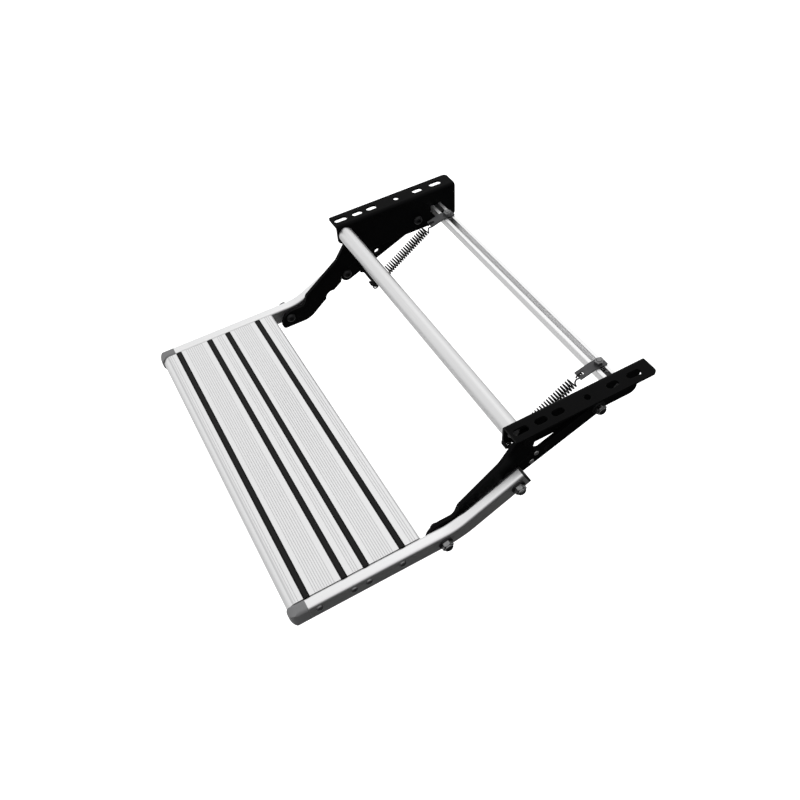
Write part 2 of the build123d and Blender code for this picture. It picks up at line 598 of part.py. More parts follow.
chambers = plank_outline(TREAD_WALL)
for y in screw_places:
    chambers -= Pos(y, (tread_top + tread_bottom) / 2) * Rectangle(TREAD_WALL, TREAD_THICKNESS)
    chambers -= Pos(y, screw_z) * Circle(PORT_RADIUS)
housing_width = STRIP_WIDTH + 2 * STRIP_FOOT_LIP + 2 * TREAD_WALL
housing_depth = STRIP_NECK + STRIP_FOOT_DEPTH + TREAD_WALL
for y in strip_places:
    chambers -= Pos(y, tread_top - housing_depth / 2) * Rectangle(housing_width, housing_depth)
plank_face = plank_outline(0) - chambers
for y in screw_places:
    plank_face -= Pos(y, screw_z) * Circle(SCREW_RADIUS + PORT_CLEARANCE)
for y in strip_places:
    plank_face -= strip_profile(y, STRIP_CLEARANCE, STRIP_NECK)
rib_clear = STRIP_WIDTH / 2 + STRIP_BAND
rib_first = tread_front + NOSE_RADIUS
rib_count = int((tread_rear - TREAD_REAR_RADIUS - rib_first) / RIB_PITCH) + 1
for i in range(rib_count):
    y = rib_first + i * RIB_PITCH
    if min(abs(y - strip) for strip in strip_places) > rib_clear:
        left = (y - RIB_GROOVE_WIDTH / 2, tread_top)
        right = (y + RIB_GROOVE_WIDTH / 2, tread_top)
        plank_face -= outline((*left, 0), (y, tread_top - RIB_GROOVE_DEPTH, 0), (*right, 0))
write("tread_plank", prism(plank_face, -rail_inner, rail_inner))

# Grip strips: rubber, standing a little proud of the tread, with rounded shoulders.
for i, y in enumerate(strip_places):
    strip = prism(strip_profile(y, 0, STRIP_PROUD), -rail_inner, rail_inner)
    crown = strip.edges().filter_by(Axis.X).group_by(Axis.Z)[-1]
    write(f"grip_strip_{i + 1}", fillet(crown, STRIP_PROUD))

# Side rails: square tube from the cap's seam back past the tread pivot, then up to the link pivot.
rail_middle = rail_inner + RAIL_WIDTH / 2
rail_z = tread_pivot[1]
rail_front = tread_front + RAIL_NOSE_GAP
kick_y = link_pivot[0] - (link_pivot[1] - rail_z) / tan(radians(RAIL_KICK))
rail_end = towards(link_pivot, RAIL_KICK, RAIL_TAIL)
rail_path = FilletPolyline((rail_front, rail_z), (kick_y, rail_z), rail_end, radius=RAIL_BEND_RADIUS)
rail_path = Plane.YZ.offset(rail_middle) * rail_path


def rail_section(inset):
    return RectangleRounded(RAIL_WIDTH - 2 * inset, RAIL_HEIGHT - 2 * inset, RAIL_CORNER - inset)


rail_start_plane = Plane(origin=rail_path @ 0, x_dir=(1, 0, 0), z_dir=rail_path % 0)
rail_end_plane = Plane(origin=rail_path @ 1, x_dir=(1, 0, 0), z_dir=rail_path % 1)
rail_bore = Rectangle(RAIL_WIDTH - 2 * RAIL_WALL, RAIL_HEIGHT - 2 * RAIL_WALL)
rail = sweep(rail_start_plane * (rail_section(0) - rail_bore), path=rail_path)
for pivot in (tread_pivot, link_pivot):
    rail -= disc(pivot, BOLT_RADIUS + BOLT_CLEARANCE, rail_inner, rail_outer)
for y in screw_places:
    rail -= disc((y, screw_z), SCREW_RADIUS + SCREW_CLEARANCE, rail_inner, rail_outer)
write_sides("rail", rail)

# Front caps: moulded ends that carry the tread's round nose across the rails, rounded in plan.
cap_front = tread_front - CAP_REACH
rail_bottom = rail_z - RAIL_HEIGHT / 2
cap = extrude(rail_start_plane * rail_section(0), amount=cap_front - rail_front)
cap_side = outline(
    (cap_front, rail_top, NOSE_RADIUS),
    (cap_front, rail_bottom, NOSE_RADIUS),
    (rail_front, rail_bottom, 0),
    (rail_front, rail_top, 0),
)
cap &= prism(cap_side, rail_inner, rail_outer)
cap_plan = outline(
    (rail_inner, cap_front, RAIL_CORNER / 2),
    (rail_outer, cap_front, CAP_PLAN_RADIUS),
    (rail_outer, rail_front, 0),
    (rail_inner, rail_front, 0),
)
cap &= extrude(Plane.XY.offset(rail_bottom) * cap_plan, amount=RAIL_HEIGHT)
spigot = rail_section(RAIL_WALL + SPIGOT_CLEARANCE)
cap += extrude(rail_start_plane * spigot, amount=screw_places[0] - rail_front - SCREW_HEAD_RADIUS)
write_sides("front_cap", cap)

# Rear plugs in the rails' tails.
plug = extrude(rail_end_plane * rail_section(0), amount=PLUG_PLATE)
plug += extrude(rail_end_plane * spigot, amount=-(RAIL_TAIL - 2 * BOLT_RADIUS))
write_sides("rail_plug", plug)

# Screws through the rails into the plank's ports.
rail_screws = []
for y in screw_places:
    head = disc((y, screw_z), SCREW_HEAD_RADIUS, rail_outer, rail_outer + SCREW_HEAD_HEIGHT)
    head = chamfer(head.edges().sort_by(Axis.X)[-1], SCREW_HEAD_HEIGHT / 2)
    rail_screws.append(head + disc((y, screw_z), SCREW_RADIUS, rail_inner - SCREW_BITE, rail_outer))
write_pair("rail_screws", *rail_screws)

# Tread pivots: bolts through the front arms, with a spacer, the rail, a washer and a lock nut.
rail_nut_seat = rail_outer + WASHER_THICKNESS
arm_head = arm_inner - FACE_CLEARANCE
tread_bolt = low_bolt(tread_pivot, arm_head - HEAD_HEIGHT, arm_head, nut_end(rail_nut_seat))
tread_spacer = ring(tread_pivot, SPACER_RADIUS, bore, arm_outer + FACE_CLEARANCE, rail_inner)
write_pair("tread_pivot_bolts", tread_bolt)
write_pair("tread_pivot_spacers", tread_spacer)
write_pair("tread_pivot_washers", ring(tread_pivot, WASHER_RADIUS, bore, rail_outer, rail_nut_seat))
write_pair("tread_pivot_nuts", lock_nut(tread_pivot, rail_nut_seat))

# Link pivots, parted where the linkage closes: the head, its shank and the spacer stay with the
# rear arm, the stud through the rail, the washer and the nut with the rail.
link_face = rail_inner - 2 * FACE_CLEARANCE
write_pair("link_pivot_heads", low_bolt(link_pivot, arm_inner - HEAD_HEIGHT, arm_inner, link_face))
write_pair("link_pivot_spacers", ring(link_pivot, SPACER_RADIUS, bore, arm_outer, link_face))
write_pair("link_pivot_studs", disc(link_pivot, BOLT_RADIUS, rail_inner, nut_end(rail_nut_seat)))
write_pair("link_pivot_washers", ring(link_pivot, WASHER_RADIUS, bore, rail_outer, rail_nut_seat))
write_pair("link_pivot_nuts", lock_nut(link_pivot, rail_nut_seat))
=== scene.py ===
import math

import bmesh
import bpy
from mathutils import Matrix, Vector


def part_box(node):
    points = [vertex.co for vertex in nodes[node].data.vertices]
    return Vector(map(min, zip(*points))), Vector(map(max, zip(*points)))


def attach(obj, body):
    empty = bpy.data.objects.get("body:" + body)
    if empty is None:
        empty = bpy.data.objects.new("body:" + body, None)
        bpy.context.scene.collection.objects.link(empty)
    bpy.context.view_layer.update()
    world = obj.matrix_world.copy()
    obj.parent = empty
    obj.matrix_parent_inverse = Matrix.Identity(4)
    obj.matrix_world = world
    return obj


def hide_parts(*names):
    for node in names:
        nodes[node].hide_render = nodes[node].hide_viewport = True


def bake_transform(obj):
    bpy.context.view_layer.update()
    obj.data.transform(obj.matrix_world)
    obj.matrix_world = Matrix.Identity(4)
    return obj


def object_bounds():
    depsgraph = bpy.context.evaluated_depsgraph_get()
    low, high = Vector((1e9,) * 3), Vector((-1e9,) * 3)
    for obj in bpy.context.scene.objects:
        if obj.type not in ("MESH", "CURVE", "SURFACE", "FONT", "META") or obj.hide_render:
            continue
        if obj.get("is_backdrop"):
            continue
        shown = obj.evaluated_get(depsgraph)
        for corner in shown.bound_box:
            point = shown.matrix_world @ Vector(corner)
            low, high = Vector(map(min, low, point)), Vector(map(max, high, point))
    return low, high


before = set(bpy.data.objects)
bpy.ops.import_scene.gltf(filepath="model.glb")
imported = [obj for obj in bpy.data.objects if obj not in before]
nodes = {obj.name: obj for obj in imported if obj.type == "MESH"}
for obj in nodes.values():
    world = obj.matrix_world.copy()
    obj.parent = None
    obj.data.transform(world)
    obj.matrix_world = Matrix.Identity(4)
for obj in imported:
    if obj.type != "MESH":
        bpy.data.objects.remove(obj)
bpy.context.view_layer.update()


# Floor brackets: two lengths of steel sheet folded to an angle, slotted for the floor bolts and
# powder coated black. The coat is a little uneven, with a fine peel, and its cut edges carry a
# painted highlight.
class Socket:
    """A socket of a material's node tree, with arithmetic that adds Math nodes."""

    def __init__(self, tree, socket=None):
        self.tree = tree
        self.socket = socket

    def node(self, kind, settings=None, inputs=None, output=0):
        """One output of a new node, from its type, its settings and its sockets' values or links."""
        made = self.tree.nodes.new("ShaderNode" + kind)
        for name, value in (settings or {}).items():
            setattr(made, name, value)
        for name, value in (inputs or {}).items():
            if isinstance(value, Socket):
                self.tree.links.new(value.socket, made.inputs[name])
            else:
                made.inputs[name].default_value = value
        return Socket(self.tree, made.outputs[output])

    def maths(self, operation, first, second):
        return self.node("Math", {"operation": operation}, {0: first, 1: second})

    def __add__(self, other):
        return self.maths("ADD", self, other)

    def __radd__(self, other):
        return self.maths("ADD", other, self)

    def __sub__(self, other):
        return self.maths("SUBTRACT", self, other)

    def __rsub__(self, other):
        return self.maths("SUBTRACT", other, self)

    def __mul__(self, other):
        return self.maths("MULTIPLY", self, other)

    def __rmul__(self, other):
        return self.maths("MULTIPLY", other, self)

    def __gt__(self, other):
        return self.maths("GREATER_THAN", self, other)

    def blend(self, low, high):
        """A colour that goes from low to high as this value goes from 0 to 1."""
        ends = [end if isinstance(end, Socket) else (*end, 1) for end in (low, high)]
        colours = {"Factor": self, 6: ends[0], 7: ends[1]}
        return self.node("Mix", {"data_type": "RGBA"}, colours, output=2)


def finish(name, **constants):
    """A new material with its constant sockets set, its tree and its shader."""
    material = bpy.data.materials.new(name)
    material.use_nodes = True
    shader = material.node_tree.nodes["Principled BSDF"]
    for socket, value in constants.items():
        shader.inputs[socket.replace("_", " ")].default_value = value
    return material, Socket(material.node_tree), shader


def feed(shader, **sockets):
    """Links what changes over a surface to its shader."""
    for name, value in sockets.items():
        value.tree.links.new(value.socket, shader.inputs[name.replace("_", " ")])


def place(tree):
    """Where a point of the surface lies, in the frame's own metres."""
    return tree.node("TexCoord", output="Object")


def grain(tree, scale, detail=2.0, stretch=(1, 1, 1)):
    """Noise that is finer along the axes with a larger stretch."""
    stretched = tree.node("Mapping", {}, {"Vector": place(tree), "Scale": stretch})
    return tree.node("TexNoise", {}, {"Vector": stretched, "Scale": scale, "Detail": detail})


def eased(tree, radius):
    """The normal with every edge eased to a radius."""
    return tree.node("Bevel", {"samples": 6}, {"Radius": radius})


def painted_edge_highlight(tree, rounded):
    """How much an edge is painted lighter, a painted highlight: the more an edge turns the eased normal
    from the flat one.
    """
    normals = {0: rounded, 1: tree.node("NewGeometry", output="Normal")}
    return 2 * (1 - tree.node("VectorMath", {"operation": "DOT_PRODUCT"}, normals, output="Value"))


def bumped(tree, height, strength, distance, normal):
    """The normal with a fine relief added."""
    sockets = {"Strength": strength, "Distance": distance, "Height": height, "Normal": normal}
    return tree.node("Bump", {}, sockets)


def dress(material, *names):
    """Gives CAD nodes their finish."""
    for name in names:
        nodes[name].data.materials.clear()
        nodes[name].data.materials.append(material)


black_coat, tree, shader = finish("black_powder_coat", Specular_IOR_Level=0.04)
cloud = grain(tree, 30.0)
peel = grain(tree, 900.0, detail=1.0)
rounded = eased(tree, 0.0007)
coat = cloud.blend((0.0022, 0.0022, 0.0024), (0.0044, 0.0044, 0.0046))
# The edges are painted a lighter grey, a painted highlight along them.
feed(shader, Base_Color=painted_edge_highlight(tree, rounded).blend(coat, (0.03, 0.03, 0.031)))
feed(shader, Roughness=0.4 + 0.15 * cloud, Normal=bumped(tree, peel, 0.1, 0.0002, rounded))
dress(black_coat, "bracket_left", "bracket_right")


# Front tube: a round drawn aluminium tube between the webs. A turned insert in each end takes a
# zinc plated hexagon bolt from outside the web.
def drawn(name, dark, pale):
    """Bare aluminium with draw lines across the step, between two greys."""
    material, tree, shader = finish(name, Metallic=1.0)
    lines = grain(tree, 1.0, stretch=(6, 900, 900))
    cloud = grain(tree, 14.0)
    feed(shader, Base_Color=lines.blend((dark, dark, dark * 1.005), (pale, pale, pale)))
    feed(shader, Roughness=0.3 + 0.08 * lines + 0.06 * cloud)
    feed(shader, Normal=bumped(tree, lines, 0.06, 0.0001, eased(tree, 0.0004)))
    return material


dress(drawn("drawn_aluminium", 0.74, 0.85), "front_tube", "tube_inserts")

zinc_plate, tree, shader = finish("dull_zinc_plate", Metallic=1.0)
spangle = grain(tree, 260.0, detail=3.0)
rounded = eased(tree, 0.0003)
zinc = spangle.blend((0.17, 0.17, 0.175), (0.3, 0.3, 0.3))
# The edges are painted paler, a painted highlight along them.
feed(shader, Base_Color=painted_edge_highlight(tree, rounded).blend(zinc, (0.6, 0.6, 0.6)))
feed(shader, Roughness=0.28 + 0.2 * spangle, Normal=rounded)


def piece_from(name, shape, material, body, slot, *stands_for):
    """A finished mesh as a piece in place of CAD nodes. It rides on a body where one is given."""
    bmesh.ops.recalc_face_normals(shape, faces=shape.faces)
    mesh = bpy.data.meshes.new(name)
    shape.to_mesh(mesh)
    shape.free()
    mesh.shade_smooth()
    mesh.set_sharp_from_angle(angle=math.radians(35))
    mesh.materials.append(material)
    piece = bpy.data.objects.new(name, mesh)
    bpy.context.scene.collection.objects.link(piece)
    if body:
        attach(piece, body)
    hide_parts(*stands_for)
    return piece


def turn(shape, centre, axis, rings, steps=48):
    """A closed turned form: rings of (distance along the axis, radius, limit on that radius)."""
    side = axis.orthogonal().normalized()
    rise = axis.cross(side)
    loops = []
    for along, radius, limit in rings:
        loop = []
        for i in range(steps):
            angle = 2 * math.pi * i / steps
            reach = min(radius, limit(angle)) if limit else radius
            spoke = side * math.cos(angle) + rise * math.sin(angle)
            loop.append(shape.verts.new(centre + axis * along + spoke * reach))
        loops.append(loop)
    for near, far in zip(loops, loops[1:]):
        for i in range(steps):
            shape.faces.new((near[i - 1], near[i], far[i], far[i - 1]))
    shape.faces.new(loops[0])
    shape.faces.new(loops[-1])


def hexagon(flats):
    """The reach of a hexagon, of that width across its flats, at any angle."""
    return lambda angle: flats / 2 / math.cos((angle + math.pi / 6) % (math.pi / 3) - math.pi / 6)


def hexagon_rings(start, end, flats, easing):
    """A hexagon whose corners are turned down to a cone of about 30 degrees at the far end."""
    corner = flats / math.sqrt(3)
    cut = hexagon(flats)
    return [(start, corner, cut), (end - easing, corner, cut), (end, corner - 1.7 * easing, cut)]


def across(name):
    """A paired node's nearest and furthest reach from the step's middle, and its middle in y, z."""
    reach = [abs(corner.co.x) for corner in nodes[name].data.vertices]
    low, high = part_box(name)
    return min(reach), max(reach), Vector((0, (low[1] + high[1]) / 2, (low[2] + high[2]) / 2))


ways = (Vector((-1, 0, 0)), Vector((1, 0, 0)))
m8_radius = 0.004
m8_flats = 0.013
tip_radius = 0.0035
tip_taper = 0.001
head_easing = 0.0009
dish_radius = 0.0048
dish_depth = 0.0004
below_flange = -0.02
bolt_inner, bolt_outer, bolt_middle = across("tube_bolts")
web = [corner.co for corner in nodes["bracket_right"].data.vertices if corner.co.z < below_flange]
head_seat = max(abs(corner.x) for corner in web)
tube_bolts = bmesh.new()
for way in ways:
    rings = [(bolt_inner, tip_radius, None), (bolt_inner + tip_taper, m8_radius, None)]
    rings += [(head_seat, m8_radius, None)]
    rings += hexagon_rings(head_seat, bolt_outer, m8_flats, head_easing)
    rings += [(bolt_outer, dish_radius, None), (bolt_outer - dish_depth, dish_radius - dish_depth, None)]
    turn(tube_bolts, bolt_middle, way, rings)
piece_from("tube_hexagon_bolts", tube_bolts, zinc_plate, "frame", "zinc_steel", "tube_bolts")

# Rear channel: a lipped aluminium extrusion across the back, open upwards. A black moulded block
# fills each end, and a countersunk screw goes into it through the web.
dress(drawn("bright_channel_aluminium", 0.9, 0.97), "rear_channel")
dress(zinc_plate, "channel_screws")


def moulded(name, dark, pale):
    """Plastic with a fine moulded grain, between two greys."""
    material, tree, shader = finish(name, Specular_IOR_Level=0.4)
    fleck = grain(tree, 1500.0)
    flow = grain(tree, 50.0)
    mottle = 0.6 * flow + 0.4 * fleck
    feed(shader, Base_Color=mottle.blend((dark, dark, dark * 1.02), (pale, pale, pale * 1.02)))
    feed(shader, Roughness=0.42 + 0.16 * fleck)
    feed(shader, Normal=bumped(tree, fleck, 0.12, 0.0001, eased(tree, 0.0005)))
    return material


black_plastic = moulded("black_moulding", 0.008, 0.014)
dress(black_plastic, "channel_end_blocks")

# Spring clips: strips of dark plated sheet, bolted over the channel's slot and bent down to a
# rounded end with a hole. Each is held by a bolt whose flat head runs in the channel, and a nut.
dark_plate, tree, shader = finish("dark_plated_sheet", Metallic=0.8)
stain = grain(tree, 90.0, detail=4.0)
rounded = eased(tree, 0.0004)
plate = stain.blend((0.04, 0.04, 0.042), (0.13, 0.13, 0.134))
# The edges are painted lighter, a painted highlight along them.
feed(shader, Base_Color=painted_edge_highlight(tree, rounded).blend(plate, (0.3, 0.3, 0.3)))
feed(shader, Roughness=0.38 + 0.2 * stain, Normal=bumped(tree, stain, 0.08, 0.0002, rounded))
dress(dark_plate, "spring_clip_left", "spring_clip_right")


def thread_rings(start, end, radius, pitch, depth):
    """A threaded tip, with a chamfered end."""
    rings = []
    turns = max(1, round((end - start) / pitch))
    step = (end - start) / turns
    for i in range(turns):
        rings.append((start + i * step, radius - depth, None))
        rings.append((start + (i + 0.5) * step, radius, None))
    rings.append((end, radius - depth, None))
    return rings


m6_radius = 0.003
m6_flats = 0.01
m6_thread = {"radius": 0.00295, "pitch": 0.0005, "depth": 0.00025}
nut_easing = 0.0008
nut_mouth = 0.0036
nut_bore = 0.0032
bore_depth = 0.0005
thread_relief = 0.0001
slide_width = 0.013
slide_depth = 0.0136
slide_height = 0.003
up = Vector((0, 0, 1))
nut_near, nut_far = across("clip_nuts")[:2]
nut_low, nut_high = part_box("clip_nuts")
bolt_low, bolt_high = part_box("clip_bolts")
clip_x = (nut_near + nut_far) / 2
clip_y = (nut_low[1] + nut_high[1]) / 2
thread_start = nut_high[2] - thread_relief
clip_nuts = bmesh.new()
clip_bolts = bmesh.new()
for way in ways:
    foot = way * clip_x + Vector((0, clip_y, 0))
    rings = hexagon_rings(nut_low[2], nut_high[2], m6_flats, nut_easing)
    rings += [(nut_high[2], nut_mouth, None), (nut_high[2] - bore_depth, nut_bore, None)]
    turn(clip_nuts, foot, up, rings)
    rings = [(bolt_low[2] + slide_height, m6_radius, None), (thread_start - thread_relief, m6_radius, None)]
    turn(clip_bolts, foot, up, rings + thread_rings(thread_start, bolt_high[2], **m6_thread))
    slide = Matrix.Translation(foot + up * (bolt_low[2] + slide_height / 2))
    slide = slide @ Matrix.Diagonal((slide_width, slide_depth, slide_height, 1))
    bmesh.ops.create_cube(clip_bolts, size=1, matrix=slide)
piece_from("clip_hexagon_nuts", clip_nuts, zinc_plate, "frame", "zinc_steel", "clip_nuts")
piece_from("clip_channel_bolts", clip_bolts, zinc_plate, "frame", "zinc_steel", "clip_bolts")

# Rear arms: straight flat bars under the brackets, black like them. Each hangs on a button head
# bolt through the web, with black washers beside the bar and a zinc plated lock nut outside.
dress(black_coat, "rear_arm_left", "rear_arm_right")

bright_zinc, tree, shader = finish("bright_zinc_plate", Metallic=1.0)
spangle = grain(tree, 320.0, detail=3.0)
rounded = eased(tree, 0.0003)
zinc = spangle.blend((0.18, 0.18, 0.185), (0.34, 0.34, 0.34))
# The edges are painted paler, a painted highlight along them.
feed(shader, Base_Color=painted_edge_highlight(tree, rounded).blend(zinc, (0.75, 0.75, 0.75)))
feed(shader, Roughness=0.16 + 0.14 * spangle, Normal=rounded)

black_oxide, tree, shader = finish("black_oxide_steel", Metallic=0.7)
bloom = grain(tree, 240.0, detail=3.0)
rounded = eased(tree, 0.0003)
oxide = bloom.blend((0.012, 0.012, 0.013), (0.032, 0.032, 0.033))
# The edges are painted lighter, a painted highlight along them.
feed(shader, Base_Color=painted_edge_highlight(tree, rounded).blend(oxide, (0.1, 0.1, 0.1)))
feed(shader, Roughness=0.32 + 0.2 * bloom, Normal=rounded)

m8_thread = {"radius": m8_radius, "pitch": 0.00125, "depth": 0.0006}
thread_lead = 0.001
button_height = 0.0044
button_radius = 0.007
dome_start = 36
dome_end = 90
dome_step = 9
key_flats = 0.005
key_corner = 0.0029
key_depth = 0.0022
collar = ((0.0016, 0.0054), (0.0006, 0.0054), (0.0001, 0.0051))
collar += ((0, 0.0047), (0.0004, 0.0044), (0.0008, 0.0043))


def button_bolt(shape, centre, way, head, thread, tip):
    """A button head with a hexagon socket, a plain shank and a threaded tip."""
    seat = head + button_height
    key = hexagon(key_flats)
    rings = [(head + key_depth, key_corner, key), (head, key_corner, key)]
    for degrees in range(dome_start, dome_end + 1, dome_step):
        angle = math.radians(degrees)
        drop = button_height * math.cos(angle) / math.cos(math.radians(dome_start))
        rings.append((seat - drop, button_radius * math.sin(angle), None))
    rings += [(seat, m8_radius, None), (thread, m8_radius, None)]
    turn(shape, centre, way, rings + thread_rings(thread, tip, **m8_thread))


def lock_nut(shape, centre, way, seat, end):
    """A hexagon nut with a rolled collar over its locking ring: (distance below the end, radius)."""
    rings = hexagon_rings(seat, end - collar[0][0], m8_flats, nut_easing)
    rings += [(end - drop, radius, None) for drop, radius in collar]
    turn(shape, centre, way, rings)


rear_bolts = bmesh.new()
rear_nuts = bmesh.new()
head, tip, middle = across("rear_pivot_bolts")
nut_seat, nut_end = across("rear_pivot_nuts")[:2]
for way in ways:
    button_bolt(rear_bolts, middle, way, head, nut_end - thread_lead, tip)
    lock_nut(rear_nuts, middle, way, nut_seat, nut_end)
piece_from("rear_button_bolts", rear_bolts, black_oxide, "frame", "zinc_steel", "rear_pivot_bolts")
piece_from("rear_lock_nuts", rear_nuts, bright_zinc, "frame", "zinc_steel", "rear_pivot_nuts")
dress(black_oxide, "rear_pivot_washers")

# Front arms: cranked plates cut from the same steel and coated black. Their bolts are coated with
# them, and carry thin nuts because they sit close under the flanges.
dress(black_coat, "front_arm_left", "front_arm_right", "front_pivot_washers")
thin_mouth = 0.0046
thin_bore = 0.0042
front_bolts = bmesh.new()
front_nuts = bmesh.new()
head, tip, middle = across("front_pivot_bolts")
nut_seat, nut_end = across("front_pivot_nuts")[:2]
for way in ways:
    button_bolt(front_bolts, middle, way, head, nut_end - thread_lead, tip)
    rings = hexagon_rings(nut_seat, nut_end, m8_flats, nut_easing)
    rings += [(nut_end, thin_mouth, None), (nut_end - bore_depth, thin_bore, None)]
    turn(front_nuts, middle, way, rings)
piece_from("front_button_bolts", front_bolts, black_coat, "frame", "black_steel", "front_pivot_bolts")
piece_from("front_thin_nuts", front_nuts, black_coat, "frame", "black_steel", "front_pivot_nuts")

# Spring tabs: bent strips on the rear arms' inner faces, coated black, each held by two bright
# rivets that were set after coating.
dress(black_coat, "spring_tab_left", "spring_tab_right")
bright_rivet, tree, shader = finish("bright_rivet", Metallic=1.0)
spangle = grain(tree, 400.0)
feed(shader, Base_Color=spangle.blend((0.5, 0.5, 0.5), (0.68, 0.68, 0.68)))
feed(shader, Roughness=0.3 + 0.15 * spangle, Normal=eased(tree, 0.0003))
rivet_head = 0.0036
rivet_shank = 0.0024
rivet_rise = 0.0015
rivet_dome = []
for angle in (0.25, 0.6, 0.95, 1.3, 1.57):
    rivet_dome.append((rivet_rise * (1 - math.cos(angle)), rivet_head * math.sin(angle)))
rivet_inner, rivet_outer = across("tab_rivets")[:2]
low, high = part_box("tab_rivets")
lower_rivet = Vector((0, low[1] + rivet_head, low[2] + rivet_head))
upper_rivet = Vector((0, high[1] - rivet_head, high[2] - rivet_head))
rivets = bmesh.new()
for way in ways:
    for middle in (lower_rivet, upper_rivet):
        rings = [(rivet_inner + rise, radius, None) for rise, radius in rivet_dome]
        rings += [(rivet_inner + rivet_rise, rivet_shank, None)]
        rings += [(rivet_outer - rivet_rise, rivet_shank, None)]
        rings += [(rivet_outer - rise, radius, None) for rise, radius in reversed(rivet_dome)]
        turn(rivets, middle, way, rings)
piece_from("tab_dome_rivets", rivets, bright_rivet, "rear_arms", "zinc_steel", "tab_rivets")

# Springs: open coils of black wire that pull the step up, hooked at one end through the clip and at
# the other round the tab's eye.
spring_wire, tree, shader = finish("black_spring_wire", Metallic=0.2, Specular_IOR_Level=0.25)
oil = grain(tree, 500.0)
feed(shader, Base_Color=oil.blend((0.003, 0.003, 0.003), (0.01, 0.01, 0.01)))
feed(shader, Roughness=0.36 + 0.2 * oil)
wire_radius = 0.001
coil_radius = 0.0064
coil_turns = 25.5
hook_radius = 0.0043
clip_hook_length = 0.0145
clip_hook_neck = ((0.0101, 0.0012), (0.0124, 0.0035))
tab_hook_length = 0.011
tab_hook_neck = (0.0065, 0.002)
bend_start = 0.004
bend_end = 0.024
spring_x = 0.174
clip_hole = Vector((0, 0.033545, -0.026641))
tab_hole = Vector((0, -0.069496, -0.095543))
pull = (tab_hole - clip_hole).normalized()
below = Vector((1, 0, 0)).cross(pull)
coil_length = (tab_hole - clip_hole).length - clip_hook_length - tab_hook_length
# The curve runs inside the points of a turn, by this share of their radius.
points_a_turn = 12
shrink = (2 + math.cos(2 * math.pi / points_a_turn)) / 3
coil_points = coil_turns * points_a_turn
for side, way in zip(("left", "right"), ways):
    foot = clip_hole + way * spring_x
    eye = tab_hole + way * spring_x
    route = []
    for degrees in range(150, -151, -30):
        angle = math.radians(degrees)
        curl = pull * (1 - math.cos(angle) / shrink) - below * (math.sin(angle) / shrink)
        route.append(foot + hook_radius * curl)
    for along, drop in clip_hook_neck:
        route.append(foot + pull * along + below * drop)
    for i in range(int(coil_points) + 1):
        angle = 2 * math.pi * i / points_a_turn
        along = clip_hook_length + coil_length * i / coil_points
        spoke = below * math.cos(angle) + ways[1] * math.sin(angle)
        route.append(foot + pull * along + spoke * (coil_radius / shrink))
    for along in tab_hook_neck:
        route.append(eye - pull * along)
    for degrees in range(20, 231, 30):
        angle = math.radians(degrees)
        curl = way * (math.cos(angle) / shrink - 1) + pull * (math.sin(angle) / shrink)
        route.append(eye + hook_radius * curl)
    wire = bpy.data.curves.new("wire", "CURVE")
    wire.dimensions = "3D"
    spline = wire.splines.new("NURBS")
    spline.points.add(len(route) - 1)
    for point, spot in zip(spline.points, route):
        point.co = (*spot, 1)
    spline.order_u = 4
    spline.use_endpoint_u = True
    spline.resolution_u = 3
    wire.bevel_depth = wire_radius
    wire.bevel_resolution = 2
    wire.use_fill_caps = True
    bent_wire = bpy.data.objects.new("bent_wire", wire)
    shape = bmesh.new()
    shape.from_mesh(bpy.data.meshes.new_from_object(bent_wire))
    bpy.data.objects.remove(bent_wire)
    coil = piece_from(f"coil_spring_{side}", shape, spring_wire, None, "spring_wire", f"spring_{side}")
    foot + pull * bend_start
    foot + pull * bend_end
    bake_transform(coil)

# Tread plank: one hollow aluminium extrusion, finely ribbed along its top and plain beside the
# grip strips. The die leaves faint lines along its whole length.
tread_aluminium, tree, shader = finish("ribbed_aluminium", Metallic=1.0)
plank_low, plank_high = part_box("tread_plank")
plank_top = plank_high[2]
groove_depth = 0.0004
lines = grain(tree, 1.0, stretch=(5, 700, 700))
cloud = grain(tree, 9.0)
height = tree.node("SeparateXYZ", {}, {"Vector": place(tree)}, output="Z")
# Painted shade: the base colour is darker down in the grooves between the ribs, where less light falls.
fall = {"From Min": plank_top - 0.15 * groove_depth, "From Max": plank_top - 0.7 * groove_depth}
painted_groove_shade = tree.node("MapRange", {}, {"Value": height, **fall}) * (height > plank_top - 2 * groove_depth)
bare = (0.6 * lines + 0.4 * cloud).blend((0.84, 0.84, 0.845), (0.91, 0.91, 0.91))
feed(shader, Base_Color=painted_groove_shade.blend(bare, (0.66, 0.66, 0.665)))
feed(shader, Roughness=0.36 + 0.1 * lines + 0.06 * cloud)
feed(shader, Normal=bumped(tree, lines, 0.05, 0.0001, eased(tree, 0.0004)))
dress(tread_aluminium, "tread_plank")

